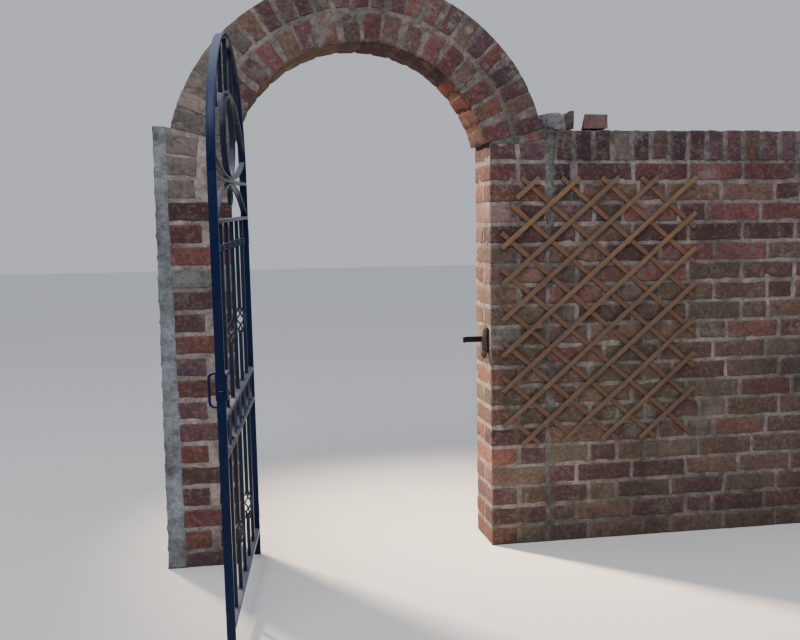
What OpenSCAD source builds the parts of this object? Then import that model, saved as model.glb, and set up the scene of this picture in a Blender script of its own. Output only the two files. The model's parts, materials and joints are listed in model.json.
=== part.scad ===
// Arched brick garden gateway with a wrought-iron leaf, a length of garden wall and a wall trellis.
// Millimetres. X runs along the wall, Y from the front face to the garden side, Z up from the ground.
// The origin is the middle of the hinge pier's foot.

/* [Piers and arch] */
// Width of the hinge pier
pier_w = 235; // [215:1:330]
// Clear width between the two piers
opening_w = 940; // [880:1:1060]
// Width of the latch pier
latch_pier_w = 223; // [215:1:330]
// Thickness of piers, arch and garden wall, one brick
wall_t = 226; // [215:1:260]
// Height of the arch centre above the ground
arch_z = 1414; // [1400:1:1600]
// How far the arch stands inside the line of the piers
arch_inset = 4; // [0:1:15]
// Radial height of one arch ring
ring_h = 109; // [100:1:115]
// Mortar joint between the two rings
ring_joint = 13; // [8:1:20]
// Slope of the bed that the arch springs from, in degrees
spring_a = 13.5; // [8:0.5:18]
// Mortar joint between the hinge pier and the building that it stands against
end_joint = 35; // [15:1:50]

/* [Garden wall] */
// Mortar joint between the latch pier and the garden wall
slot_w = 31; // [15:1:40]
// Length of garden wall that is built
garden_l = 1300; // [900:10:2400]
// Height of one course of bricks
course_h = 77; // [70:0.5:80]
// Number of courses under the coping
garden_courses = 19; // [17:1:20]
// Height of the coping of bricks on edge
coping_h = 115; // [100:1:120]
// Width of the loose brick on the coping
loose_w = 107; // [95:1:112]
// Height of the loose brick
loose_h = 58; // [50:1:70]
// Depth of the loose half brick along its foot
loose_d = 130; // [100:1:180]
// Gap between the latch pier and the loose brick
loose_x = 138; // [130:1:300]
// Width of the mortar lump on the coping, with the brick end in it
lump_w = 118; // [90:1:120]
// Height of the mortar lump
lump_h = 61; // [40:1:70]

/* [Gate leaf] */
// Deepness of the flat bars, across the leaf
bar_d = 25; // [20:1:32]
// Thickness of the flat bars
bar_t = 10; // [8:1:12]
// Side of the square upright bars
upright = 12; // [10:1:14]
// Number of upright bars, with one in the middle
upright_count = 5; // [5:2:7]
// Height of the leaf's foot above the ground
leaf_foot = 18; // [12:1:60]
// Middle height of the bottom rail
bottom_rail_z = 113; // [90:1:160]
// Middle height of the lower lock rail
lock_rail_z = 611; // [560:1:660]
// Distance between the two lock rails
lock_rail_gap = 109; // [90:1:120]
// Middle height of the rail below the head
neck_rail_z = 1263; // [1220:1:1290]
// Middle height of the rail that the head springs from
top_rail_z = 1380; // [1360:1:1400]
// Length of straight stile above the top rail
head_stilt = 17; // [8:1:25]
// Distance from the head bar's crown down to the inner arch's crown
head_drop = 170; // [150:1:200]
// Height above the top rail at which the inner arch meets the frame
inner_foot = 110; // [105:1:140]
// Height that the upper bow gains from the top rail to the stiles
bow_rise = 68; // [50:1:72]
// Outer radius of the small ring under the top rail
drop_ring_r = 30; // [24:1:36]
// Height of the baskets in the upright bars
basket_h = 84; // [70:1:100]
// Greatest outer diameter of the baskets
basket_d = 40; // [34:1:46]
// Twist of a basket's wires from end to end, in degrees
basket_turn = 180; // [0:10:240]
// Angle that the leaf stands open, in degrees
open_a = 96.5; // [90:0.5:100]

/* [Hinges and keep] */
// Reach of the pintles from the hinge pier to the hinge line
pintle_reach = 56; // [50:1:70]
// Distance of the hinge line from the front face, at the ground
hinge_depth = 64; // [55:1:80]
// Lean of the hinge line's top towards the front, in degrees
lean_front = 1.6; // [0:0.1:2]
// Lean of the hinge line's top towards the hinge pier, in degrees
lean_side = 0.6; // [0:0.1:1]
// Radius of the pintle pins
pin_r = 8; // [6:0.5:9]
// Outer radius of the hinge eyes
eye_r = 12; // [11:0.5:13]
// Height of one hinge eye
eye_h = 32; // [24:1:40]
// Gap between the hinge line and the hinge stile
eye_offset = 14; // [14:0.5:18]
// Middle height of the lower hinge eye
low_eye_z = 190; // [170:1:260]
// Middle height of the upper hinge eye
high_eye_z = 1205; // [1120:1:1230]
// Gap between the closed leaf and the latch pier
latch_gap = 15; // [12:1:20]
// Distance from the closed leaf's middle plane to the lug of the stop bar
stop_gap = 24; // [22:1:30]
// Reach of the stop bar into the opening
stop_reach = 86; // [70:1:95]
// Middle height of the stop bar and the lock
lock_z = 790; // [775:1:850]

/* [Trellis] */
// Width of one diamond of the trellis
diamond_w = 157.5; // [130:0.5:170]
// Height of one diamond
diamond_h = 135.5; // [120:0.5:160]
// Half diamonds along the trellis
trellis_across = 9; // [6:1:12]
// Half diamonds up the trellis
trellis_up = 14; // [10:1:16]
// Distance from the latch pier's corner to the first crossings
trellis_x = 78; // [60:1:120]
// Height of the top row of crossings
trellis_z = 1369; // [1300:1:1400]
// Width of one slat
slat_w = 18; // [16:1:25]
// Thickness of one slat
slat_t = 7; // [5:0.5:9]
// Length of slat past its last crossing
slat_end = 44; // [20:1:50]
// Distance from the broken top corner's crossing to the end of the slat that rises to the right
corner_rise = 31; // [0:1:60]
// Distance from that crossing to the end of the slat that falls to the right
corner_fall = 5; // [0:1:60]

/* [Hidden] */
$fn = 96;
// Space left where a piece meets its seat
seat = 0.2;
// Length of a cutting shape past the face that it cuts
past = 5;

brick = "#8a4b3e";
mortar = "#b3a898";
iron = "#26324a";
timber = "#a07a4e";

jamb_l = pier_w / 2;
jamb_r = jamb_l + opening_w;
front = -wall_t / 2;
arch_x = jamb_l + opening_w / 2;
arch_r = opening_w / 2 - arch_inset;
ring_2 = arch_r + ring_h + ring_joint;
arch_top_r = ring_2 + ring_h;
crown_a = 40;
slot_x = jamb_r + latch_pier_w;
garden_x = slot_x + slot_w;
garden_top = garden_courses * course_h;
coping_top = garden_top + coping_h;
slat_bed = 1;
lump_in = 15;
loose_in = 4;
loose_top = 26;
chip_w = 34;
chip_h = 77;
chip_break = 6;

leaf_w = opening_w - pintle_reach - eye_offset - latch_gap;
leaf_mid = eye_offset + leaf_w / 2;
stile_in = eye_offset + bar_t;
stile_out = eye_offset + leaf_w - bar_t;
upright_pitch = leaf_w / (upright_count + 1);
upper_lock_z = lock_rail_z + lock_rail_gap;
spring_z = top_rail_z + head_stilt;
head_r = leaf_w / 2;
lighter = 2;
arch_bar_t = bar_t - lighter;
arch_bar_d = bar_d - 2 * lighter;
band_t = 7;
hinge_x = jamb_l + pintle_reach;
hinge_y = front + hinge_depth;
collar_z = 1185;
basket_zs = [302, 930];

// Two bows cross the head from stile to stile, one above the top rail and one below it
function arc_r(half, rise) = (half * half + rise * rise) / (2 * rise);
bow_half = (stile_out - stile_in) / 2;
inner_rise = head_stilt + head_r - head_drop;
inner_r = arc_r(bow_half, inner_rise - inner_foot);
inner_z = top_rail_z + inner_rise - inner_r;
bow_up_z = top_rail_z + bar_t / 2 + seat;
bow_down_z = top_rail_z - bar_t / 2 - seat;
bow_down_rise = top_rail_z - neck_rail_z - bar_t - 2 * seat - 1.3 * band_t;
head_ring_foot = bow_up_z + band_t + seat;
head_ring_r = (top_rail_z + inner_rise - arch_bar_t - seat - head_ring_foot) / 2;
ring_d = (upright + bar_d) / 2;

// Round bar and small plates
shank = 14;
shank_in = 90;
shoulder_h = 7;
pin_tip = 5;
plate_t = 5;
plate_w = 24;
plate_h = 95;
stop_t = 8;
stop_h = 22;
stop_lug = 12;
pad_t = 13;
pad_w = 62;
pad_low = 75;
pad_high = 53;
pad_gap = 8;
case_w = 66;
case_h = 75;
case_d = 32;
case_rise = 18;
keyhole_r = 5;
keyhole_w = 5;
keyhole_h = 15;
keyhole_deep = 8;
tongue_h = 20;
grip_r = 4;
grip_h = 103;
grip_out = 24;
grip_rise = 12;
grip_bend = 16;
tongue_out = 4;
collar_h = 22;
collar_sides = 24;
reeds = 3;
reed_steps = 4;
cap_h = 7;
cap_lip = 2;
wire_r = 3;
wire_sides = 6;
wire_steps = 14;

// Height of the sloping top of a pier over a distance from the arch centre
function bed_z(dx) = arch_z + abs(dx) * tan(spring_a) - seat;

// Place of the hinge line at a height
function line_x(z) = hinge_x - z * tan(lean_side);
function line_y(z) = hinge_y - z * tan(lean_front);

stop_y = line_y(lock_z) + stop_gap;

// Masonry

module wall_slab(points) {
    translate([0, wall_t / 2, 0]) rotate([90, 0, 0]) linear_extrude(wall_t) polygon(points);
}

module shank_hole(z) {
    translate([jamb_l - shank_in, line_y(z) - shank / 2, z - shank / 2]) cube([shank_in + past, shank, shank]);
}

module left_pier() {
    color(brick) difference() {
        wall_slab([[-jamb_l, 0], [jamb_l, 0], [jamb_l, bed_z(opening_w / 2)],
                   [-jamb_l, bed_z(opening_w / 2 + pier_w)]]);
        for (z = [low_eye_z, high_eye_z]) shank_hole(shank_z(z));
    }
}

module left_end_mortar() {
    color(mortar) translate([-jamb_l - end_joint, front, 0])
        cube([end_joint, wall_t, bed_z(opening_w / 2 + pier_w)]);
}

module right_pier() {
    color(brick) wall_slab([[jamb_r, 0], [slot_x, 0], [slot_x, bed_z(opening_w / 2 + latch_pier_w)],
                            [jamb_r, bed_z(opening_w / 2)]]);
}

// Part of a ring of the arch, between two angles from the right-hand horizontal
module ring_part(inner, thick, from_a, to_a) {
    translate([arch_x, wall_t / 2, arch_z]) rotate([90, 0, 0]) rotate([0, 0, from_a])
        rotate_extrude(angle = to_a - from_a) translate([inner, 0]) square([thick, wall_t]);
}

module inner_ring_right() { color(brick) ring_part(arch_r, ring_h, spring_a, 90 - crown_a); }
module inner_ring_crown() { color(brick) ring_part(arch_r, ring_h, 90 - crown_a, 90 + crown_a); }
module inner_ring_left() { color(brick) ring_part(arch_r, ring_h, 90 + crown_a, 180 - spring_a); }
module outer_ring_right() { color(brick) ring_part(ring_2, ring_h, spring_a, 90 - crown_a); }
module outer_ring_crown() { color(brick) ring_part(ring_2, ring_h, 90 - crown_a, 90 + crown_a); }
module outer_ring_left() { color(brick) ring_part(ring_2, ring_h, 90 + crown_a, 180 - spring_a); }
module ring_mortar() { color(mortar) ring_part(arch_r + ring_h, ring_joint, spring_a, 180 - spring_a); }

module slot_mortar() {
    color(mortar) translate([slot_x, front, 0]) cube([slot_w, wall_t, coping_top]);
}

module garden_wall() {
    color(brick) translate([garden_x, front, 0]) cube([garden_l, wall_t, garden_top]);
}

module coping() {
    color(brick) translate([garden_x, front, garden_top]) cube([garden_l, wall_t, coping_h]);
}

// Heap of mortar over the slot, rounded by the weather, with a broken brick end that stands in it
module coping_lump() {
    lump_l = wall_t - 2 * lump_in;
    heap_w = lump_w - chip_w;
    heap_r = 0.58 * heap_w;
    color(mortar) translate([slot_x + seat, lump_l / 2, coping_top]) rotate([90, 0, 0]) linear_extrude(lump_l) {
        intersection() {
            translate([heap_w / 2, lump_h - heap_r]) circle(r = heap_r);
            square([heap_w, lump_h]);
        }
        translate([heap_w, 0]) polygon([[0, 0], [chip_w, 0], [chip_w - chip_break, chip_h - chip_break],
                                        [chip_break, chip_h], [0, chip_h - 2 * chip_break]]);
    }
}

// Half brick that broke at a slant, with its sound end to the front
module loose_brick() {
    color(brick) translate([slot_x + loose_x, front + loose_in, coping_top]) rotate([90, 0, 90])
        linear_extrude(loose_w) polygon([[0, 0], [loose_d, 0], [loose_top, loose_h], [0, loose_h]]);
}

// Trellis

// One slat through a run of crossings: lean is 1 for slats that rise to the right, and left_end is the length
// past the first crossing
module slat(i0, i1, j0, lean, y, left_end = slat_end) {
    step = norm([diamond_w, diamond_h]) / 2;
    len = (i1 - i0) * step + left_end + slat_end;
    translate([jamb_r + trellis_x + i0 * diamond_w / 2, y, trellis_z + j0 * diamond_h / 2])
        rotate([0, -lean * atan(diamond_h / diamond_w), 0])
            translate([-left_end, 0, -slat_w / 2]) cube([len, slat_t, slat_w]);
}

module trellis() {
    // The crossings are numbered i from the left and j from the top, and i + j is odd. The two slats of the top
    // left crossing broke off short of it.
    color(timber) union() {
        for (c = [1 : 2 : trellis_across + trellis_up]) {
            i0 = max(0, c - trellis_up);
            i1 = min(trellis_across, c);
            if (i1 > i0)
                slat(i0, i1, i0 - c, 1, front - 2 * slat_t + slat_bed, c == 1 ? -corner_rise : slat_end);
        }
        for (c = [-trellis_up : 1 : trellis_across]) if (abs(c) % 2 == 1) {
            i0 = max(0, c);
            i1 = min(trellis_across, c + trellis_up);
            if (i1 > i0) slat(i0, i1, c - i0, -1, front - slat_t, c == -1 ? -corner_fall : slat_end);
        }
    }
}

// Hinges on the wall, and the keep

// Places a shape that is drawn around the hinge line
module on_hinge_line() {
    translate([hinge_x, hinge_y, 0]) rotate([lean_front, -lean_side, 0]) children();
}

// Middle height of a pintle's shank under its eye
function shank_z(z) = z - eye_h / 2 - shoulder_h - shank / 2;

module pintle(z) {
    color(iron) union() {
        on_hinge_line() {
            translate([0, 0, z - eye_h / 2 - shoulder_h - shank]) cylinder(r = eye_r, h = shank + shoulder_h - seat);
            translate([0, 0, z - eye_h / 2 - shoulder_h]) cylinder(r = pin_r, h = eye_h + shoulder_h + pin_tip);
        }
        translate([jamb_l - shank_in, line_y(shank_z(z)) - shank / 2, shank_z(z) - shank / 2])
            cube([line_x(z) - jamb_l + shank_in, shank, shank]);
    }
}

module top_pintle() { pintle(high_eye_z); }
module bottom_pintle() { pintle(low_eye_z); }

module strike_plate() {
    color(iron) translate([jamb_r - plate_t, line_y(lock_z) - plate_w / 2, lock_z - plate_h / 2])
        cube([plate_t, plate_w, plate_h]);
}

module stop_bar() {
    color(iron) translate([jamb_r - stop_reach, 0, lock_z - stop_h / 2]) union() {
        translate([0, stop_y + stop_lug, 0]) cube([stop_reach, stop_t, stop_h]);
        translate([0, stop_y, 0]) cube([stop_t, stop_lug + stop_t, stop_h]);
    }
}

module keep_mortar() {
    pad_y = line_y(lock_z) + bar_d / 2 + pad_gap;
    color(mortar) difference() {
        translate([jamb_r - pad_t, pad_y, lock_z - pad_low]) cube([pad_t, pad_w, pad_low + pad_high]);
        translate([jamb_r - pad_t - past, stop_y + stop_lug, lock_z - stop_h / 2])
            cube([pad_t + 2 * past, stop_t, stop_h]);
    }
}

// Gate leaf, drawn along X from the hinge line and then turned open

module open_leaf() {
    on_hinge_line() rotate([0, 0, -open_a]) children();
}

function upright_x(k) = eye_offset + k * upright_pitch;

// Square hole or bar along an upright
module upright_bar(k, z0, z1) {
    translate([upright_x(k) - upright / 2, -upright / 2, z0]) cube([upright, upright, z1 - z0]);
}

module flat_rail(z) {
    color(iron) open_leaf() difference() {
        translate([stile_in, -bar_d / 2, z - bar_t / 2]) cube([stile_out - stile_in, bar_d, bar_t]);
        for (k = [1 : upright_count]) upright_bar(k, z - bar_t, z + bar_t);
    }
}

module neck_rail() { flat_rail(neck_rail_z); }
module upper_lock_rail() { flat_rail(upper_lock_z); }
module lower_lock_rail() { flat_rail(lock_rail_z); }

module plain_rail(z) {
    color(iron) open_leaf() translate([stile_in, -bar_d / 2, z - bar_t / 2])
        cube([stile_out - stile_in, bar_d, bar_t]);
}

module top_rail() { plain_rail(top_rail_z); }
module bottom_rail() { plain_rail(bottom_rail_z); }

module hinge_stile() {
    color(iron) open_leaf() translate([eye_offset, -bar_d / 2, leaf_foot])
        cube([bar_t, bar_d, spring_z - leaf_foot]);
}

module tongue_slot(extra) {
    translate([stile_out - extra, -upright / 2, lock_z - tongue_h / 2])
        cube([bar_t + tongue_out + extra, upright, tongue_h]);
}

module lock_stile() {
    color(iron) open_leaf() difference() {
        translate([stile_out, -bar_d / 2, leaf_foot]) cube([bar_t, bar_d, spring_z - leaf_foot]);
        tongue_slot(past);
    }
}

// Half ring that stands on a level line, in the plane of the leaf
module half_ring(x, z, r, thick, deep) {
    translate([x, deep / 2, z]) rotate([90, 0, 0]) rotate_extrude(angle = 180)
        translate([r - thick, 0]) square([thick, deep]);
}

module whole_ring(x, z, r, thick, deep) {
    translate([x, deep / 2, z]) rotate([90, 0, 0]) difference() {
        cylinder(r = r, h = deep);
        translate([0, 0, -past]) cylinder(r = r - thick, h = deep + 2 * past);
    }
}

module head_bar() { color(iron) open_leaf() half_ring(leaf_mid, spring_z, head_r, bar_t, bar_d); }

// Round block across the leaf, about a point on its middle line
module across(z, r) {
    translate([leaf_mid, bar_d, z]) rotate([90, 0, 0]) cylinder(r = r, h = 2 * bar_d);
}

// Flat bar bent to an arc that ends at the frame: up is 1 with the crown at the top and -1 at the bottom
module bow(crown_z, r, up, thick, deep) {
    a = asin(bow_half / r) + 2;
    foot = neck_rail_z + bar_t / 2 + seat;
    intersection() {
        translate([leaf_mid, deep / 2, crown_z - up * r]) rotate([90, 0, 0]) rotate([0, 0, 90 * up - a])
            rotate_extrude(angle = 2 * a, $fn = 480) translate([r - thick, 0]) square([thick, deep]);
        union() {
            translate([stile_in + seat, -bar_d, foot]) cube([2 * bow_half - 2 * seat, 2 * bar_d, spring_z - foot]);
            across(spring_z, head_r - bar_t - seat);
        }
    }
}

module inner_arch() {
    color(iron) open_leaf() difference() {
        bow(top_rail_z + inner_rise, inner_r, 1, arch_bar_t, arch_bar_d);
        for (k = [1 : upright_count]) upright_bar(k, spring_z, spring_z + head_r);
    }
}

// The uprights stop where a basket opens them and in the neck rail, and start again in the inner arch
module uprights() {
    color(iron) open_leaf() {
        difference() {
            for (k = [1 : upright_count]) upright_bar(k, bottom_rail_z + bar_t / 2, neck_rail_z + bar_t / 2);
            for (k = [2 : 2 : upright_count], z = basket_zs)
                translate([upright_x(k) - upright, -upright, z - basket_h / 2])
                    cube([2 * upright, 2 * upright, basket_h]);
        }
        difference() {
            intersection() {
                for (k = [1 : upright_count]) upright_bar(k, spring_z, spring_z + head_r);
                across(spring_z, head_r - bar_t - seat);
            }
            across(inner_z, inner_r - arch_bar_t);
        }
    }
}

// Collars turned with a row of reeds
module collars() {
    last = reeds * reed_steps;
    core = 0.75 * upright;
    profile = [for (n = [0 : last])
        [core + (upright - seat - core) * abs(sin(180 * n / reed_steps)), collar_h * (n / last - 0.5)]];
    color(iron) open_leaf() for (k = [1 : upright_count])
        difference() {
            translate([upright_x(k), 0, collar_z]) rotate_extrude($fn = collar_sides)
                polygon([[0, -collar_h / 2], each profile, [0, collar_h / 2]]);
            upright_bar(k, collar_z - collar_h, collar_z + collar_h);
        }
}

// Middle line of a basket's wire, from the bottom at -1 to the top at 1, that starts at an angle
function wire_point(s, start) =
    let (a = start + basket_turn * s / 2,
         r = upright / 2 + cap_lip - wire_r + (basket_d - upright - 2 * cap_lip) / 2 * cos(90 * s),
         z = (basket_h - cap_h) / 2 * s)
    [r * cos(a), r * sin(a), z];

// Corners of the wire's section at a point of that line
function wire_ring(s, start) =
    let (step = 0.02,
         along = wire_point(s + step, start) - wire_point(s - step, start),
         out = cross(along, [-sin(start + basket_turn * s / 2), cos(start + basket_turn * s / 2), 0]),
         u = out / norm(out),
         v = cross(u, along / norm(along)))
    [for (c = [0 : wire_sides - 1])
        wire_point(s, start) + wire_r * (u * cos(360 * c / wire_sides) + v * sin(360 * c / wire_sides))];

module basket_wire(start) {
    points = [for (n = [0 : wire_steps]) each wire_ring(2 * n / wire_steps - 1, start)];
    last = wire_steps * wire_sides;
    faces = [[for (c = [wire_sides - 1 : -1 : 0]) c],
             [for (c = [0 : wire_sides - 1]) last + c],
             for (n = [0 : wire_steps - 1], c = [0 : wire_sides - 1])
                 let (a = n * wire_sides + c, b = n * wire_sides + (c + 1) % wire_sides)
                 each [[a, b, a + wire_sides], [b, b + wire_sides, a + wire_sides]]];
    polyhedron(points, faces);
}

// Four bowed and twisted wires between two small caps
module basket() {
    for (z = [-basket_h / 2, basket_h / 2 - cap_h])
        translate([0, 0, z]) cylinder(r = upright / 2 + cap_lip, h = cap_h);
    for (start = [45 : 90 : 315]) basket_wire(start);
}

module baskets() {
    color(iron) open_leaf() for (k = [2 : 2 : upright_count], z = basket_zs) translate([upright_x(k), 0, z]) basket();
}

module lock_rail_rings() {
    r = (lock_rail_gap - bar_t) / 2 - seat;
    color(iron) open_leaf() for (k = [0 : upright_count])
        whole_ring(upright_x(k + 0.5), lock_rail_z + lock_rail_gap / 2, r, band_t, upright);
}

// A large ring between the upper bow and the inner arch, and a small one under the lower bow
module head_rings() {
    color(iron) open_leaf() {
        whole_ring(leaf_mid, head_ring_foot + head_ring_r, head_ring_r, band_t, ring_d);
        whole_ring(leaf_mid, bow_down_z - band_t - seat - drop_ring_r, drop_ring_r, band_t, upright);
    }
}

// Two bows that touch the top rail at its middle and spread like fishtails to the stiles
module fishtail_scrolls() {
    color(iron) open_leaf() {
        bow(bow_up_z, arc_r(bow_half, bow_rise), -1, band_t, ring_d);
        bow(bow_down_z, arc_r(bow_half, bow_down_rise), 1, band_t, ring_d);
    }
}

// Cut for the key on one face of the case: side is -1 for the front face and 1 for the back
module keyhole(side) {
    translate([stile_out - case_w / 2, side * (case_d / 2 - keyhole_deep + past / 2), lock_z])
        rotate([side * -90, 0, 0]) translate([0, 0, -past / 2]) linear_extrude(keyhole_deep + past) union() {
            circle(r = keyhole_r);
            translate([-keyhole_w / 2, side * keyhole_h / 2 - keyhole_h / 2]) square([keyhole_w, keyhole_h]);
        }
}

module lock_case() {
    color(iron) open_leaf() difference() {
        translate([stile_out - case_w, -case_d / 2, lock_z - case_h / 2 + case_rise]) cube([case_w, case_d, case_h]);
        for (side = [-1, 1]) keyhole(side);
    }
}

module latch_tongue() { color(iron) open_leaf() tongue_slot(0); }

// Bar bent to a D, with both ends on the edge of the lock stile
module pull_handle() {
    reach = grip_out - grip_bend - grip_r;
    half = grip_h / 2 - grip_r;
    color(iron) open_leaf() translate([stile_out + bar_t / 2, -bar_d / 2, lock_z + grip_rise]) union() {
        translate([0, -reach - grip_bend, -half + grip_bend]) cylinder(r = grip_r, h = 2 * (half - grip_bend));
        for (up = [0, 1]) mirror([0, 0, up]) {
            translate([0, 0, half]) rotate([90, 0, 0]) cylinder(r = grip_r, h = reach);
            translate([0, -reach, half - grip_bend]) rotate([0, -90, 0]) rotate([0, 0, -90])
                rotate_extrude(angle = 90) translate([grip_bend, 0]) circle(r = grip_r);
        }
    }
}

module hinge_eye(z) {
    color(iron) open_leaf() difference() {
        union() {
            translate([0, 0, z - eye_h / 2]) cylinder(r = eye_r, h = eye_h);
            translate([0, -bar_t / 2, z - eye_h / 2]) cube([eye_offset, bar_t, eye_h]);
        }
        translate([0, 0, z - eye_h]) cylinder(r = pin_r + seat, h = 2 * eye_h);
    }
}

module top_hinge_eye() { hinge_eye(high_eye_z); }
module bottom_hinge_eye() { hinge_eye(low_eye_z); }

left_pier();
left_end_mortar();
right_pier();
inner_ring_left();
inner_ring_crown();
inner_ring_right();
outer_ring_left();
outer_ring_crown();
outer_ring_right();
ring_mortar();
slot_mortar();
garden_wall();
coping();
coping_lump();
loose_brick();
trellis();
top_pintle();
bottom_pintle();
strike_plate();
stop_bar();
keep_mortar();
hinge_stile();
lock_stile();
head_bar();
inner_arch();
top_rail();
neck_rail();
upper_lock_rail();
lower_lock_rail();
bottom_rail();
uprights();
collars();
baskets();
lock_rail_rings();
head_rings();
fishtail_scrolls();
lock_case();
latch_tongue();
pull_handle();
top_hinge_eye();
bottom_hinge_eye();
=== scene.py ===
# %% [markdown]
# # An arched brick gateway with a wrought-iron leaf
#
# This lesson dresses a fixed model of an old garden gateway: two brick piers, a round arch of two rings,
# a length of garden wall with a coping of bricks on edge, a trellis, and an iron leaf that stands open.
# The fixed model gives every place and size. Here each wall is laid again brick by brick, and each iron bar
# gets the rounded arrises, collars and paint of a smith's work.
#
# Every piece is modelled in metres where it stands, so its object stays at the origin, unturned.

# %% Load the fixed model
import itertools
import json
import math
import random

import bmesh
import bpy
from mathutils import Matrix, Vector, noise


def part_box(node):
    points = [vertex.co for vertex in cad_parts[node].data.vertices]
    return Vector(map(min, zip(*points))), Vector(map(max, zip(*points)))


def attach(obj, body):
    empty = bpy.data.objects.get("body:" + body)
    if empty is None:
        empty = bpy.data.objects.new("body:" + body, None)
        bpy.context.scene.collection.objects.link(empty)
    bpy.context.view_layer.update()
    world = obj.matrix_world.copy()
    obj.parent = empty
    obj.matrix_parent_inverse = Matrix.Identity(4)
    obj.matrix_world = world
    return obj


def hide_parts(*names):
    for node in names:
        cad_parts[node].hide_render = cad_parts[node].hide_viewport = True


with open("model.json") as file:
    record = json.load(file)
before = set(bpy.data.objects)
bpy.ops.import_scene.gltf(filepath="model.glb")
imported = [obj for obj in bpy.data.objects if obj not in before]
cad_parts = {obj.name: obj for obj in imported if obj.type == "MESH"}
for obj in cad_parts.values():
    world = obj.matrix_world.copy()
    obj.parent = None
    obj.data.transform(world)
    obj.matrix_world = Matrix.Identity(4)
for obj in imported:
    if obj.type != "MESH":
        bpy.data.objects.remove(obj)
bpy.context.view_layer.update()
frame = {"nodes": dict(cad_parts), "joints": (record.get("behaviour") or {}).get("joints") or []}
nodes = frame["nodes"]

# %% [markdown]
# ## The camera
#
# The view is taken standing to the left of the passage, at chest height, turned ten degrees to the right and
# looking a little down, with the camera held a touch out of level. The camera's axes are built from those
# three angles, because a matrix says plainly which way each axis points.

# %% Stand the camera
EYE = Vector((0.1015, -3.602, 1.202))
TURN = math.radians(9.96)
DOWN = math.radians(5.196)
ROLL = math.radians(-0.846)
FOCAL_PIXELS = 963.9
PHOTO_WIDTH = 800


def add_object(name, data):
    """Stands an object with this data in the scene."""
    made = bpy.data.objects.new(name, data)
    bpy.context.scene.collection.objects.link(made)
    return made


ahead = Vector((math.sin(TURN) * math.cos(DOWN), math.cos(TURN) * math.cos(DOWN), -math.sin(DOWN)))
level = Vector((math.cos(TURN), -math.sin(TURN), 0))
above = level.cross(ahead)
right = math.cos(ROLL) * level + math.sin(ROLL) * above
up = math.cos(ROLL) * above - math.sin(ROLL) * level

camera_data = bpy.data.cameras.new("camera")
camera_data.sensor_width = 36
camera_data.lens = FOCAL_PIXELS / PHOTO_WIDTH * camera_data.sensor_width
camera = add_object("camera", camera_data)
camera.matrix_world = Matrix.Translation(EYE) @ Matrix((right, up, -ahead)).transposed().to_4x4()
bpy.context.scene.camera = camera
print("lens", round(camera_data.lens, 1), "mm")

# %% [markdown]
# ## Floor and light
#
# A pale floor and a pale sky give the shade side its soft light, and a broad lamp in front fills it a little.
# One warm lamp stands behind the wall on the left, where the evening sun would be: it rakes the reveal of the
# latch pier and the floor under the arch, and leaves the front in shade. Its beam is kept narrow, and lamps
# with a wide face give the shadows soft edges.

# %% Set the floor and the lamps
FLOOR_REACH = 30
SKY_TINT = (0.86, 0.91, 1.0, 1)
SKY_STRENGTH = 0.62


def colour(red, green, blue):
    """A screen colour from 0 to 255 as the light values that a shader works with."""
    shares = [step / 255 for step in (red, green, blue)]
    return tuple(((c + 0.055) / 1.055) ** 2.4 if c > 0.04 else c / 12.92 for c in shares) + (1,)


def to_mesh(name, bm):
    """Turns a bmesh into a mesh, and is done with the bmesh."""
    mesh = bpy.data.meshes.new(name)
    bm.to_mesh(mesh)
    bm.free()
    return mesh


def lamp(name, place, target, width, power, tint, spread):
    """A square lamp at a place, turned to a target. The spread of its beam is in degrees."""
    data = bpy.data.lights.new(name, "AREA")
    data.size = width
    data.energy = power
    data.color = tint
    data.spread = math.radians(spread)
    made = add_object(name, data)
    made.location = place
    made.rotation_euler = (Vector(target) - Vector(place)).to_track_quat("-Z", "Y").to_euler()


floor_bm = bmesh.new()
bmesh.ops.create_grid(floor_bm, x_segments=1, y_segments=1, size=FLOOR_REACH)
floor = add_object("floor", to_mesh("floor", floor_bm))

sky = bpy.data.worlds.new("sky")
sky.use_nodes = True
sky.node_tree.nodes["Background"].inputs["Color"].default_value = SKY_TINT
sky.node_tree.nodes["Background"].inputs["Strength"].default_value = SKY_STRENGTH
bpy.context.scene.world = sky

lamp("evening", place=(-1.5, 2.6, 3.6), target=(1.06, 0, 0.5), width=0.5, power=48,
     tint=(1.0, 0.745, 0.54), spread=38)
lamp("front_fill", place=(-0.9, -3.6, 5.2), target=(0.8, 0, 0.9), width=2.6, power=170,
     tint=(1.0, 0.97, 0.93), spread=180)
print("lamps set")

# %% [markdown]
# ## Writing shader sums
#
# A finish is mostly arithmetic on noise: so much soot, times a mask, plus a little grain. Wiring that by hand
# takes a line a node. The class below wraps one output of a node, so that `mask * 0.4 + grain` adds the Math
# nodes by itself. Colours go through Mix nodes, because a Math node would turn them grey.

# %% The shader helper
class Value:
    """One output of a shader node, which can stand in a sum."""

    def __init__(self, finish, socket):
        self.finish = finish
        self.socket = socket

    def sum_with(self, operation, first, second):
        return self.finish.node("ShaderNodeMath", {"operation": operation}, {0: first, 1: second})

    def __add__(self, other):
        return self.sum_with("ADD", self, other)

    def __sub__(self, other):
        return self.sum_with("SUBTRACT", self, other)

    def __rsub__(self, other):
        return self.sum_with("SUBTRACT", other, self)

    def __mul__(self, other):
        return self.sum_with("MULTIPLY", self, other)

    __radd__ = __add__
    __rmul__ = __mul__


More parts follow.
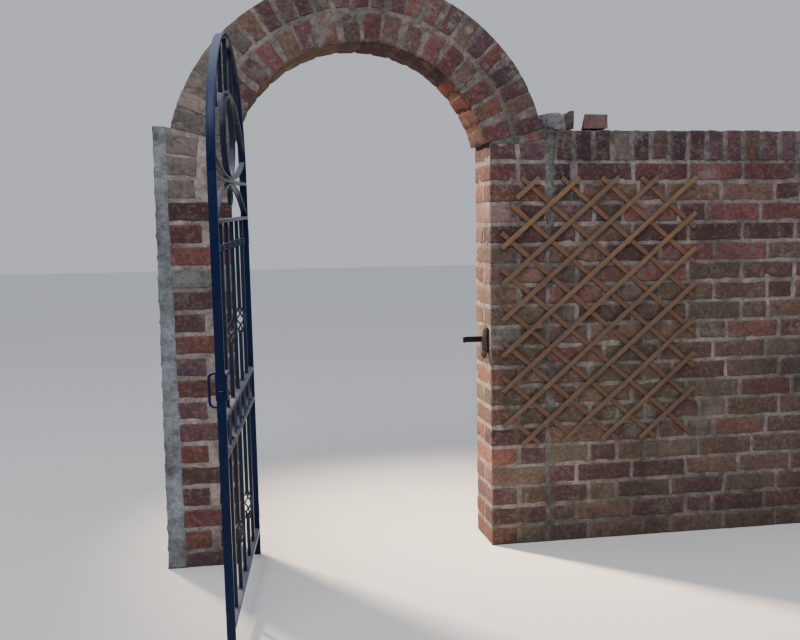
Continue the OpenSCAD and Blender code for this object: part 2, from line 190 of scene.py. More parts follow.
class Finish:
    """A material while it is being made."""

    def __init__(self, name):
        self.material = bpy.data.materials.new(name)
        self.material.use_nodes = True
        self.tree = self.material.node_tree
        self.shader = self.tree.nodes["Principled BSDF"]
        print("finish", name)

    def plug(self, socket, value):
        """Links a value to a socket, or sets the socket to a number or colour."""
        if isinstance(value, Value):
            self.tree.links.new(value.socket, socket)
        else:
            socket.default_value = value

    def node(self, kind, settings=None, sockets=None, output=0):
        """Adds a node: its settings first, then the values or links of its sockets."""
        made = self.tree.nodes.new(kind)
        for name, value in (settings or {}).items():
            setattr(made, name, value)
        for name, value in (sockets or {}).items():
            self.plug(made.inputs[name], value)
        return Value(self, made.outputs[output])

    def place(self):
        """Where a point of the surface is, in metres."""
        return self.node("ShaderNodeTexCoord", output="Object")

    def attribute(self, name, output):
        """What the points of the mesh carry under a name."""
        return self.node("ShaderNodeAttribute", {"attribute_name": name}, output=output)

    def facing_up(self):
        """1 on level faces, 0 on upright ones, -1 on undersides."""
        return self.part(self.node("ShaderNodeNewGeometry", output="Normal"), "Z")

    def part(self, where, axis):
        return self.node("ShaderNodeSeparateXYZ", sockets={0: where}, output=axis)

    def noise(self, where, scale, detail, roughness, distortion=0.0):
        sockets = {"Vector": where, "Scale": scale, "Detail": detail, "Roughness": roughness,
                   "Distortion": distortion}
        return self.node("ShaderNodeTexNoise", sockets=sockets)

    def pits(self, where, scale):
        """Distance to the nearest of many scattered points, in cells."""
        return self.node("ShaderNodeTexVoronoi", sockets={"Vector": where, "Scale": scale}, output="Distance")

    def band(self, value, low, high):
        """0 below the low value and 1 above the high one, with a soft step between."""
        sockets = {"Value": value, "From Min": low, "From Max": high}
        return self.node("ShaderNodeMapRange", {"interpolation_type": "SMOOTHSTEP"}, sockets)

    def shift(self, where, by):
        return self.node("ShaderNodeVectorMath", {"operation": "ADD"}, {0: where, 1: by})

    def stretch(self, where, scales):
        return self.node("ShaderNodeVectorMath", {"operation": "MULTIPLY"}, {0: where, 1: scales})

    def mix(self, share, first, second, blend="MIX"):
        """A colour between two colours."""
        settings = {"data_type": "RGBA", "blend_type": blend}
        return self.node("ShaderNodeMix", settings, {0: share, 6: first, 7: second}, output=2)

    def coats(self, face, *coats):
        """Lays coats over a face in turn, each given as its mask and its colour."""
        for mask, tint in coats:
            face = self.mix(mask, face, tint)
        return face

    def grit(self, face, share, grains, low, high):
        """Darkens and lightens a face grain by grain, between two greys."""
        grey = self.mix(grains, (low, low, low, 1), (high, high, high, 1))
        return self.mix(share, face, grey, "OVERLAY")

    def feed(self, socket, value):
        self.plug(self.shader.inputs[socket], value)

    def bump(self, height, distance):
        self.feed("Normal", self.node("ShaderNodeBump", sockets={"Height": height, "Distance": distance}))


# %% [markdown]
# ## The finishes of the masonry
#
# Old hand-made bricks are never one red. Each brick here carries its own tone as an attribute, from a small
# range that a kiln gives, and the shader adds what time has done: fire marks, pale bloom, lime from the
# joints smeared over the face, and lichen, which likes the top. Low on the garden wall it lays a dark olive
# that is green algae and painted shade together. The lime, the algae with its shade, and the lichen follow
# places in the wall, so they run on from a brick to its joint. The underside of the arch stays out of the
# rain and shows little bloom.

# %% Brick
LIME = colour(128, 122, 116)
LIME_PALE = colour(160, 154, 146)
LICHEN = colour(104, 108, 102)
# A dark olive for algae and for painted shade low on the garden wall.
ALGAE_AND_SHADE = colour(80, 82, 58)
SOOT = colour(40, 33, 32)
FIRE_MARK = colour(60, 45, 47)
DARK_FLECK = colour(52, 41, 43)
PALE_FLECK = colour(150, 116, 110)
BLOOM = colour(142, 120, 114)


def weathering(finish, where):
    """Masks that brick and mortar share: lime smears, lichen, dirt, damp, and algae with painted shade."""
    height = finish.part(where, "Z")
    level_face = finish.band(finish.facing_up(), 0.35, 0.85)
    broad = finish.noise(where, 7, 3, 0.55)
    broken = finish.noise(where, 70, 6, 0.72, 0.3)
    smear = finish.band(0.55 * broad + 0.45 * broken, 0.535, 0.62)
    high_up = finish.band(height, 1.30, 1.75)
    spots = 0.5 * finish.noise(where, 14, 4, 0.6) + 0.5 * broken
    lichen = finish.band(spots + 0.05 * high_up + 0.07 * level_face * high_up, 0.56, 0.64)
    dirt = finish.band(finish.noise(where, 5, 6, 0.6), 0.40, 0.72)
    damp = 1.0 - finish.band(height, 0.0, 0.32)
    garden_side = finish.band(finish.part(where, "X"), 1.0, 1.25)
    # Low on the garden side: algae, with painted shade laid in as the same dark olive.
    algae_and_shade = garden_side * (1.0 - finish.band(height, 0.85, 1.35)) * finish.band(spots, 0.42, 0.56)
    return smear, lichen, dirt, damp, algae_and_shade


def make_brick():
    finish = Finish("old_brick")
    where = finish.place()
    tone = finish.attribute("tone", "Color")
    own = finish.shift(where, finish.attribute("tone", "Alpha") * 37.0)
    mottle = finish.noise(own, 30, 6, 0.66)
    grain = finish.noise(own, 330, 3, 0.6)
    fired = finish.band(finish.noise(own, 11, 4, 0.6, 0.5), 0.50, 0.72)
    bloom = finish.band(finish.noise(own, 24, 6, 0.74, 0.6), 0.54, 0.78)
    fleck = finish.noise(own, 64, 5, 0.66, 0.5)
    open_air = 1.0 - 0.85 * finish.band(finish.facing_up(), -0.12, -0.55)
    smear, lichen, dirt, damp, algae_and_shade = weathering(finish, where)
    torn_edge = 0.45 * finish.noise(where, 42, 6, 0.7)
    patch = 0.62 * finish.attribute("lime", "Fac") + torn_edge + 0.5 * finish.noise(where, 160, 4, 0.7)
    patch = finish.band(patch, 0.86, 1.12)
    haze = 0.5 * finish.attribute("rim", "Fac") + 0.8 * finish.noise(where, 55, 5, 0.68)
    haze = finish.band(haze, 0.66, 1.02)
    deep = finish.mix(1.0, tone, (0.50, 0.47, 0.48, 1), "MULTIPLY")
    pale = finish.mix(1.0, tone, (1.52, 1.48, 1.46, 1), "MULTIPLY")
    face = finish.coats(
        finish.mix(mottle, deep, pale),
        (fired * 0.52, FIRE_MARK),
        (finish.band(fleck, 0.51, 0.62) * 0.46, DARK_FLECK),
        (finish.band(fleck, 0.48, 0.36) * open_air * 0.30, PALE_FLECK),
        (bloom * open_air * 0.34, BLOOM),
        (smear * open_air * 0.54, LIME),
        (haze * open_air * 0.78, LIME),
        (patch * 0.66, LIME_PALE),
        # Algae and painted shade low on the garden wall.
        (algae_and_shade * 0.30, ALGAE_AND_SHADE),
        (lichen * 0.48, LICHEN),
        (dirt * 0.34 + damp * 0.2, SOOT),
    )
    pores = 1.0 - finish.band(finish.pits(own, 150), 0.0, 0.28)
    finish.feed("Base Color", finish.grit(face, 0.35, grain, 0.25, 0.78))
    finish.feed("Roughness", 0.86 + 0.1 * mottle - 0.08 * fired)
    finish.feed("Specular IOR Level", 0.25)
    height = 0.9 * mottle + 0.35 * grain + 0.4 * smear + 0.5 * haze + 0.9 * patch + 0.4 * lichen - 0.5 * pores
    finish.bump(height, 0.0020)
    return finish.material


OLD_BRICK = make_brick()

# %% [markdown]
# Lime mortar is sand held by lime: pale, full of grains, darker where the wet lingers. Every part of the
# gateway was pointed in its own time and mix, bluish at the outer end of the hinge pier, red with brick dust
# under the arch, where its dark colours are also painted shade. So one recipe serves them all, each with its
# own pale and dark colour.

# %% Mortar
def make_mortar(name, pale, dark):
    finish = Finish(name)
    where = finish.place()
    pale = colour(*pale)
    blotch = finish.noise(where, 24, 6, 0.68)
    sand = finish.noise(where, 420, 3, 0.65)
    fleck = finish.noise(where, 90, 5, 0.7)
    smear, lichen, dirt, damp, algae_and_shade = weathering(finish, where)
    face = finish.coats(
        finish.mix(finish.band(0.6 * blotch + 0.4 * fleck, 0.36, 0.64), colour(*dark), pale),
        (smear * 0.4, pale),
        # Algae and painted shade low on the garden wall.
        (algae_and_shade * 0.36, ALGAE_AND_SHADE),
        (lichen * 0.5, LICHEN),
        (dirt * 0.50 + damp * 0.3, SOOT),
    )
    stones = finish.band(finish.pits(where, 210), 0.05, 0.5)
    finish.feed("Base Color", finish.grit(face, 0.4, sand, 0.22, 0.80))
    finish.feed("Roughness", 0.95)
    finish.feed("Specular IOR Level", 0.2)
    finish.bump(1.2 * blotch + 0.5 * sand - 0.35 * stones + 0.3 * lichen, 0.0025)
    return finish.material


LIME_MORTAR = make_mortar("lime_mortar", (154, 143, 139), (99, 90, 88))
WEDGE_MORTAR = make_mortar("dark_mortar", (116, 116, 112), (68, 70, 69))
END_MORTAR = make_mortar("end_mortar", (146, 151, 158), (92, 96, 103))
HINGE_MORTAR = make_mortar("hinge_mortar", (168, 158, 154), (108, 99, 97))
ARCH_MORTAR = make_mortar("arch_mortar", (136, 126, 121), (80, 72, 70))
# Under the arch: red with brick dust, and dark as painted shade.
SHADED_SOFFIT_MORTAR = make_mortar("shaded_soffit_mortar", (104, 70, 58), (62, 40, 36))
SLOT_MORTAR = make_mortar("slot_mortar", (128, 127, 124), (58, 60, 62))
KEEP_MORTAR = make_mortar("keep_mortar", (126, 112, 106), (68, 58, 55))
HEAP_MORTAR = make_mortar("heap_mortar", (160, 156, 166), (100, 94, 106))
COPE_MORTAR = make_mortar("cope_mortar", (134, 126, 125), (70, 65, 66))

# %% [markdown]
# ## One worn brick
#
# A brick starts as a cube that is scaled to size and cut into cells, so that noise has corners to move. Its
# arrises are bevelled, and then each point is pushed in along its normal: a little all over, and in bites
# along the arrises, where old soft bricks crumble. Blocks of one size share a cut cube, and each brick gets
# its own noise from its number, so no two are alike and every run gives the same wall.

# %% Helpers for meshes
SHARP = 0.7


def block(size, cell, middle=(0, 0, 0)):
    """A box round a middle, cut into cells of about one size, an axis at a time."""
    bm = bmesh.new()
    bmesh.ops.create_cube(bm, size=1.0)
    bmesh.ops.scale(bm, vec=size, verts=bm.verts)
    bmesh.ops.translate(bm, vec=middle, verts=bm.verts)
    for axis in range(3):
        along = [e for e in bm.edges if abs((e.verts[0].co - e.verts[1].co).normalized()[axis]) > 0.99]
        cuts = max(0, round(size[axis] / cell) - 1)
        if cuts:
            bmesh.ops.subdivide_edges(bm, edges=along, cuts=cuts, use_grid_fill=True)
    return bm


def round_arrises(bm, width):
    """Bevels every edge between faces that meet at more than a sharp angle."""
    arrises = [e for e in bm.edges if len(e.link_faces) == 2 and e.calc_face_angle(0) > SHARP]
    bmesh.ops.bevel(bm, geom=arrises, offset=width, offset_type="OFFSET", segments=2, profile=0.5,
                    affect="EDGES", clamp_overlap=True, material=-1)


def add_piece(name, bm, finishes, body="gateway", stands_for=()):
    """Makes the finished piece from a bmesh, hangs it on its body and hides the fixed parts it stands for."""
    for face in bm.faces:
        face.smooth = True
    mesh = to_mesh(name, bm)
    for finish in finishes:
        mesh.materials.append(finish)
    piece = add_object(name, mesh)
    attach(piece, body)
    if stands_for:
        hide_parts(*stands_for)
    print(name, "has", len(mesh.polygons), "faces")


def add_bricks(name, bm, *stands_for):
    add_piece(name, bm, [OLD_BRICK], stands_for=stands_for)


def add_mortar(name, bm, *finishes, stands_for=()):
    add_piece(name, bm, finishes, stands_for=stands_for)


# %% [markdown]
# The tones are the faces of single bricks. The last six serve the loose half brick and the underside of the
# arch. The underside tones are darker than the faces as painted shade, darkest where the tone named shade
# lies as a painted shadow between the orange and the moss; their colour goes from burnt orange over the latch
# pier to a mossy brown on the left. A few wide lime smears sit where a hand with a trowel left them.

# %% The brick
BRICK_CELL = 0.022
BRICK_ARRIS = 0.0052
RIM_W = 0.013
SHRINK = 0.0010
BITE = 0.0095
SWELL = 0.0010
ROUGH = 0.0004
UNDERSIDE_H = 0.003
LIME_REACH_Y = -0.09
SHADE_LEAST = 0.86
SHADE_SPAN = 0.28
GOLDEN = 0.618
TONES = {
    "red": (106, 68, 68), "bright": (116, 71, 70), "dark": (84, 60, 63), "purple": (88, 67, 74),
    "brown": (101, 79, 71), "olive": (94, 82, 73), "orange": (116, 78, 69), "pink": (128, 104, 101),
    "black": (62, 54, 58), "buff": (120, 112, 104), "grey": (106, 100, 97), "smeared": (116, 121, 121),
    # From rose on, the tones serve the underside of the arch and are darkened as painted shade; shade is a
    # painted shadow.
    "rosy": (140, 108, 105), "rose": (90, 56, 50), "coral": (102, 48, 35), "ember": (108, 42, 27),
    "shade": (62, 35, 30), "moss": (84, 66, 38),
}
# Each patch of lime has its middle along X and Z, and how far it reaches along them.
LIME_PATCHES = (
    (1.130, 1.463, 0.031, 0.010), (1.145, 1.390, 0.020, 0.018), (1.112, 1.276, 0.026, 0.016),
    (1.171, 1.110, 0.012, 0.030), (1.150, 0.955, 0.036, 0.024), (1.170, 0.810, 0.012, 0.036),
    (1.206, 1.000, 0.028, 0.010), (0.990, 1.930, 0.045, 0.036), (1.120, 1.835, 0.032, 0.030),
    (1.147, 1.780, 0.032, 0.018), (0.850, 2.015, 0.040, 0.024), (0.003, 1.361, 0.020, 0.034),
    (-0.050, 1.052, 0.090, 0.036),
)
blanks = {}
brick_numbers = itertools.count(1)


def blank(size):
    """The cut and bevelled block that all bricks of one size start from."""
    key = tuple(round(s, 4) for s in size)
    if key not in blanks:
        bm = block(size, BRICK_CELL)
        round_arrises(bm, BRICK_ARRIS)
        bm.normal_update()
        blanks[key] = to_mesh("blank", bm)
    return blanks[key]


def lime_at(point):
    """How much lime was smeared over the front at a point, from the patches listed above."""
    if point.y > LIME_REACH_Y:
        return 0.0
    return max(math.exp(-((point.x - x) / w) ** 2 - ((point.z - z) / h) ** 2) for x, z, w, h in LIME_PATCHES)


def lay(bm, size, place, tone, taper=0.0, wear=1.0, under=None):
    """Adds a worn brick to a wall. The place is a matrix, taper widens the brick upwards, and its underside
    may have a tone of its own."""
    number = next(brick_numbers)
    first = len(bm.verts)
    bm.from_mesh(blank(size))
    bm.verts.ensure_lookup_table()
    tones = bm.verts.layers.float_color["tone"]
    rims = bm.verts.layers.float["rim"]
    limes = bm.verts.layers.float["lime"]
    half = Vector(size) / 2
    shift = Vector((number * 3.1, number * 1.7, number * 0.9))
    shade = SHADE_LEAST + SHADE_SPAN * noise.cell(shift * 9.7)
    face, below = [[c * shade for c in colour(*TONES[name])[:3]] + [number * GOLDEN % 1]
                   for name in (tone, under or tone)]
    for vert in bm.verts[first:]:
        vert[tones] = below if vert.co.z < UNDERSIDE_H - half.z else face
        near = sorted(half[axis] - abs(vert.co[axis]) for axis in range(3))
        rim = max(0.0, 1 - near[1] / RIM_W)
        bite = max(0.0, noise.noise(vert.co * 26 + shift) - 0.04)
        swell = noise.noise(vert.co * 13 - shift)
        rough = noise.noise(vert.co * 90 + shift)
        vert.co -= vert.normal * (SHRINK + wear * (BITE * rim * bite + SWELL * swell + ROUGH * rough))
        vert.co.x *= 1 + taper * vert.co.z
        vert.co = place @ vert.co
        vert[rims] = rim
        vert[limes] = lime_at(vert.co)


def new_wall():
    """An empty mesh whose points can carry a tone, their nearness to an arris, and lime."""
    bm = bmesh.new()
    bm.verts.layers.float_color.new("tone")
    bm.verts.layers.float.new("rim")
    bm.verts.layers.float.new("lime")
    return bm


# %% [markdown]
# ## The mortar bed
#
# A wall's mortar is modelled as one block that fills the wall, a few millimetres behind the brick faces, cut
# fine and roughened. Bricks stand out of it, and because both surfaces are uneven, the line where they meet
# wanders as a real pointed joint does. That costs far fewer faces than modelling every joint. Where a brick
# would end in a face of the fixed model it stands in by a hair, a millimetre.

# %% The bed
HAIR = 0.001
BED_CELL = 0.011
FINE_CELL = 0.008
RECESS = 0.0050

pier_low, pier_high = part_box("left_pier")
reveal_low, reveal_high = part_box("right_pier")
front = pier_low.y
back = pier_high.y


def roughen(bm, depth, coarse=22, fine=75):
    """Moves every point of a bed in or out by noise."""
    bm.normal_update()
    for vert in bm.verts:
        wave = noise.noise(vert.co * coarse) + 0.6 * noise.noise(vert.co * fine)
        vert.co += vert.normal * depth * wave


def slab(low, high, cell=BED_CELL, depth=0.0017, slope=None):
    """A roughened block between two corners. The slope says how high its top is at a distance along X: the
    block is cut first and then stretched up to it."""
    size = Vector(high) - Vector(low)
    bm = block(size, cell, (Vector(low) + Vector(high)) / 2)
    if slope:
        for vert in bm.verts:
            vert.co.z = low[2] + (vert.co.z - low[2]) * (slope(vert.co.x) - low[2]) / size[2]
    roughen(bm, depth)
    return bm


def add_bed(name, xs, zs, finish, stands_for=(), recess=RECESS, **finer):
    """Adds a slab that fills a wall between two places along X and Z, a little behind the brick faces."""
    bed = slab((xs[0], front + recess, zs[0]), (xs[1], back - recess, zs[1]), **finer)
    add_mortar(name, bed, finish, stands_for=stands_for)


# %% [markdown]
# ## The hinge pier
#
# The pier that carries the hinges is a brick and a bit wide. Its courses take turns: one shows a full
# stretcher, the next a shorter brick, a broad joint, and a closer laid along the passage. The three top
# courses are of paler bricks, one course lower down was plastered over, and the last two tilt to meet the
# sloping bed that the arch springs from. The tones are listed course by course, from the ground up.

# %% Hinge pier
arch_x = (pier_high.x + reveal_low.x) / 2
ARCH_Z = 1.414
SPRING = math.radians(13.5)
BED_JOINT = 0.010
BRICK_H = 0.066
HALF_DEPTH = (back - front) / 2
HALF_BRICK = HALF_DEPTH - BED_JOINT / 2
HALF_BRICK_Y = HALF_DEPTH - HALF_BRICK / 2
THROUGH = 2 * HALF_DEPTH - 0.003
LAP_FOOT = 0.034
LAP_FALL = 0.015
LAP_COVER = 0.005
HINGE_COURSE = 0.079
BURIED = 0.0175
HINGE_TONES = ("purple", "orange", "red", "dark", "brown", "bright", "dark", "purple", "orange", "purple",
               "orange", "dark", "dark", "smeared", "red", "red", "dark", "grey", "grey", "grey")
PLASTERED = 13
PALE_FROM = 17
CUT_SHORT = {17: 0.018, 18: 0.012, 19: 0.004}
TOP_TILTS = {18: math.radians(4), 19: math.radians(9)}
TOP_DROP = {19: 0.007}
HEADER_ENDS = 0.127
CLOSER_W = 0.078
CLOSER_FALL = 0.06


def bed_height(x):
    """Height of the sloping bed of the arch over a place along the wall."""
    return ARCH_Z + abs(x - arch_x) * math.tan(SPRING)


def lap_at(z):
    """How far the mortar of the end joint laps over the bricks at a height."""
    return LAP_FOOT - LAP_FALL * z


chance = random.Random(7)
hinge_wall = new_wall()
for course, tone in enumerate(HINGE_TONES):
    tilt = TOP_TILTS.get(course, 0.0)
    turned_down = Matrix.Rotation(tilt, 4, "Y")
    z = (course + 0.5) * HINGE_COURSE - BURIED - TOP_DROP.get(course, 0)
    height = BRICK_H
    if course == 0:
        height = z + BRICK_H / 2 - HAIR
        z = HAIR + height / 2
    long = course == PLASTERED or (course % 2 == 0 and course not in TOP_TILTS)
    start = pier_low.x + lap_at(z) - LAP_COVER
    end = pier_high.x - HAIR if long else pier_low.x + HEADER_ENDS - CUT_SHORT.get(course, 0.0)
    for side in (-1, 1):
        jog = chance.uniform(-0.002, 0.001)
        middle = ((start + end) / 2 + jog, side * HALF_BRICK_Y, z)
        lay(hinge_wall, (end - start, HALF_BRICK, height), Matrix.Translation(middle) @ turned_down, tone)
    if not long:
        closer = Matrix.Translation((pier_high.x - CLOSER_W / 2 - HAIR, 0, z - HAIR - CLOSER_FALL * tilt))
        closer_tone = "grey" if course >= PALE_FROM else "dark"
        lay(hinge_wall, (CLOSER_W, THROUGH, BRICK_H), closer @ turned_down, closer_tone)
add_bricks("hinge_pier_bricks", hinge_wall, "left_pier")
add_bed("hinge_pier_bed", (pier_low.x, pier_high.x - RECESS), (0, 1), HINGE_MORTAR, slope=bed_height)

# %% [markdown]
# The mortar of the upright joint at the pier's outer end was dragged a little over the brick ends, more at
# the foot than at the top. Its outer face keeps the print of the courses that it was pressed against. One cut
# block does for it: points past the lap sink back, and points of the outer face are pushed in where those
# courses stood, so that ridges stay at their joints.

# %% End joint
end_low, end_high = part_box("left_end_mortar")
END_SMEAR = 0.042
END_RECESS = 0.0008
FADE = 0.006
SINK = 0.007
PRINTED_COURSE = 0.075
PRINT_DEPTH = 0.0045
end_joint = slab((end_low.x + HAIR, front + END_RECESS, 0), (end_high.x + END_SMEAR, back - END_RECESS, 1),
                 cell=FINE_CELL, depth=0.0016, slope=lambda x: bed_height(max(x, pier_low.x)) - 0.002)
for vert in end_joint.verts:
    lap = vert.co.x - pier_low.x
    reach = lap_at(vert.co.z) + 0.005 * noise.noise(Vector((0, vert.co.y * 9, vert.co.z * 31)))
    sunk = min(1.0, max(0.0, (lap - reach) / FADE))
    if vert.co.x < end_low.x + FADE:
        ridge = max(0.0, math.cos(2 * math.pi * vert.co.z / PRINTED_COURSE)) ** 4
        vert.co.x += PRINT_DEPTH * (1 - ridge) * (0.7 + 0.5 * noise.noise(vert.co * 12))
    vert.co.y -= math.copysign(SINK * sunk, vert.co.y)
add_mortar("end_joint", end_joint, END_MORTAR, stands_for=["left_end_mortar"])

# %% [markdown]
# ## The latch pier
#
# Here the courses show two headers, then one stretcher, and the passage side shows the same bricks the other
# way round: a header's long side, then two stretcher ends. The courses are two millimetres lower than on the
# other pier, because garden wall and pier were laid together. Over the last course a wedge of mortar with a
# thin slip of brick makes up the slope for the arch. The slot between pier and wall has a filling of its own.

# %% Latch pier
GARDEN_COURSE = 0.077
GARDEN_DROP = 0.005
LATCH_COURSES = 20
PERPEND = 0.011
LATCH_COMMON = ("brown", "dark", "olive", "olive", "dark", "brown", "purple", "orange")
LATCH_TONES = {9: ("brown",), 10: ("grey", "brown"), 11: ("olive",), 12: ("brown", "dark"), 13: ("brown",),
               14: ("olive", "dark"), 15: ("dark",), 16: ("pink", "dark"), 17: ("orange",),
               18: ("red", "purple"), 19: ("dark", "purple")}
latch_w = reveal_high.x - reveal_low.x
latch_x = reveal_low.x + latch_w / 2


def garden_z(course):
    """Middle height of a course of the latch pier or the garden wall."""
    return (course + 0.5) * GARDEN_COURSE - GARDEN_DROP


latch_wall = new_wall()
for course in range(LATCH_COURSES):
    seen = LATCH_TONES.get(course, ()) + (None, None)
    for side, tone in zip((-1, 1), seen):
        if course % 2 == 0 or course == LATCH_COURSES - 1:
            size = ((latch_w - PERPEND) / 2 - 0.002, THROUGH, BRICK_H)
            middle = (latch_x + side * (size[0] + PERPEND) / 2, 0, garden_z(course))
        else:
            size = (latch_w - 0.004, HALF_BRICK, BRICK_H)
            middle = (latch_x - HAIR, side * HALF_BRICK_Y, garden_z(course))
        common = chance.choice(LATCH_COMMON)
        jog = Matrix.Translation((chance.uniform(0, 0.001), chance.uniform(-0.001, 0.0005), 0))
        lay(latch_wall, size, jog @ Matrix.Translation(middle), tone or common)

SLIP_W = 0.088
SLIP_H = 0.031
SLIP_X = reveal_high.x - 0.047
SLIP_Z = 1.549
SLIP_TILT = -0.16
for side in (-1, 1):
    place = Matrix.Translation((SLIP_X, side * HALF_DEPTH / 2, SLIP_Z)) @ Matrix.Rotation(SLIP_TILT, 4, "Y")
    lay(latch_wall, (SLIP_W, HALF_DEPTH - HAIR, SLIP_H), place, "red")
add_bricks("latch_pier_bricks", latch_wall, "right_pier")
add_bed("latch_pier_bed", (reveal_low.x + RECESS, reveal_high.x), (0, 1), LIME_MORTAR, slope=bed_height)

WEDGE_ZS = (1.524, 1.60)
WEDGE_RECESS = 0.0045
add_bed("springing_wedge", (reveal_low.x + 0.010, reveal_high.x), WEDGE_ZS, WEDGE_MORTAR, recess=WEDGE_RECESS,
        cell=FINE_CELL, depth=0.0022, slope=lambda x: bed_height(x) - HAIR)

slot_low, slot_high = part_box("slot_mortar")
add_bed("slot_fill", (slot_low.x - 0.002, slot_high.x + 0.002), (0, slot_high.z - 0.002), SLOT_MORTAR,
        ["slot_mortar"], cell=FINE_CELL, depth=0.0030)

# %% [markdown]
# ## The arch
#
# Two rings of bricks stand on end round the opening, eighteen in the lower ring and twenty-five in the upper
# one, with a joint between the rings. Each brick is laid flat like any other and then carried out along its
# own radius by a rotation about the arch centre. The bed is a straight block bent to the curve, which keeps
# its cells even. Tones run from the right springing to the left one.

# %% Arch
ARCH_R = (reveal_low.x - pier_high.x) / 2 - 0.004
ARCH_TURN = math.pi - 2 * SPRING
RING_H = 0.109
RING_JOINT = 0.013
RING_WEAR = 1.4
BACKING = 0.0025
SOFFIT_EDGE = 0.02
INNER_TONES = ("red", "orange", "red", "olive", "red", "red", "brown", "brown", "red", "olive", "orange",
               "dark", "brown", "red", "dark", "dark", "brown", "buff")
# The underside tones are painted shade: darker than the faces, with the tone shade as a painted shadow.
SHADED_UNDER_TONES = ("rose", "coral", "ember", "ember") + ("shade",) * 5 + ("moss",) * 9
OUTER_TONES = ("dark", "brown", "dark", "purple", "red", "purple", "olive", "dark", "red", "bright", "dark",
               "purple", "red", "dark", "brown", "dark", "purple", "dark", "brown", "grey", "buff", "grey",
               "buff", "buff", "grey")


def lay_ring(radius, width, taper, tones, under_tones):
    """Lays one ring of bricks on end, from the right springing to the left one."""
    ring = new_wall()
    size = (width, 2 * HALF_DEPTH - HAIR, RING_H - HAIR)
    for k, (tone, under) in enumerate(zip(tones, under_tones)):
        angle = SPRING + (k + 0.5) * ARCH_TURN / len(tones)
        jog = Matrix.Translation((0, chance.uniform(-0.0012, 0.0012), chance.uniform(-0.001, 0.001)))
        lean = Matrix.Rotation(math.pi / 2 - angle + chance.uniform(-0.012, 0.012), 4, "Y")
        out = Matrix.Translation((0, 0, radius + RING_H / 2))
        place = Matrix.Translation((arch_x, 0, ARCH_Z)) @ lean @ out @ jog
        lay(ring, size, place, tone, taper, RING_WEAR, under)
    return ring


def bend_to_arch(bm, length, inner):
    """Bends a block that lies along X, from 0 to a length, round the arch. Its height becomes the radius."""
    for vert in bm.verts:
        angle = SPRING + (1 - vert.co.x / length) * ARCH_TURN
        radius = inner + vert.co.z
        vert.co.x = arch_x + radius * math.cos(angle)
        vert.co.z = ARCH_Z + radius * math.sin(angle)


inner_ring = lay_ring(ARCH_R, 0.064, 0.9, INNER_TONES, SHADED_UNDER_TONES)
add_bricks("inner_ring_bricks", inner_ring, "inner_ring_left", "inner_ring_crown", "inner_ring_right")
outer_ring = lay_ring(ARCH_R + RING_H + RING_JOINT, 0.057, 0.7, OUTER_TONES, OUTER_TONES)
add_bricks("outer_ring_bricks", outer_ring, "outer_ring_left", "outer_ring_crown", "outer_ring_right")

rings_h = 2 * RING_H + RING_JOINT
arc_length = ARCH_TURN * (ARCH_R + rings_h / 2)
arch_bed_size = Vector((arc_length, 2 * (HALF_DEPTH - RECESS), rings_h - RECESS - BACKING))
arch_bed = block(arch_bed_size, BED_CELL, (arc_length / 2, 0, (rings_h + RECESS - BACKING) / 2))
bend_to_arch(arch_bed, arc_length, ARCH_R)
# Faces of the underside take the soffit mortar, darkened as painted shade.
for face in arch_bed.faces:
    middle = face.calc_center_median()
    low_down = math.hypot(middle.x - arch_x, middle.z - ARCH_Z) < ARCH_R + RECESS + HAIR
    face.material_index = 1 if low_down and abs(middle.y) < HALF_DEPTH - SOFFIT_EDGE else 0
roughen(arch_bed, 0.0018)
add_mortar("arch_bed", arch_bed, ARCH_MORTAR, SHADED_SOFFIT_MORTAR, stands_for=["ring_mortar"])

# %% [markdown]
# ## The garden wall and its coping
#
# The wall is one brick thick, with long and short bricks mixed and hardly a joint straight above another. The
# rule that keeps the joints apart is the whole of the bond, so a course is drawn by chance under that rule.
# The filled slot shows at its full width beside the coping and the top three courses. Lower down the bricks
# lap over it.

# %% Garden wall
wall_low, wall_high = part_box("garden_wall")
STRETCHER = 0.215
HEADER = 0.105
CUT_BRICK = 0.155
LEAST_LAP = 0.040
LEAST_BRICK = 0.046
LONGEST_THROUGH = 0.13
SLOT_HIDDEN_TO = 15
TOP_JOINTS = (0.075, 0.088, 0.319)
GARDEN_COMMON = ("dark", "brown", "red", "olive", "dark", "purple", "brown", "brown", "dark", "red", "olive")
GARDEN_TONES = {(18, 0): "black", (18, 2): "dark", (18, 3): "red", (17, 0): "black", (16, 0): "dark",
                (15, 0): "dark"}


def joints_of(below, opening):
    """Where the joints of a course come, clear of those below as far as the sizes of the bricks allow."""
    joints = list(opening)
    while wall_high.x - joints[-1] > STRETCHER + PERPEND + 0.05:
        units = [STRETCHER, STRETCHER, STRETCHER, HEADER]
        if len(joints) == 1:
            units = [HEADER, STRETCHER, CUT_BRICK]
        chance.shuffle(units)
        for unit in units:
            here = joints[-1] + unit + PERPEND
            if all(abs(here - joint) > LEAST_LAP for joint in below):
                break
        joints.append(here)
    return joints + [wall_high.x + PERPEND]


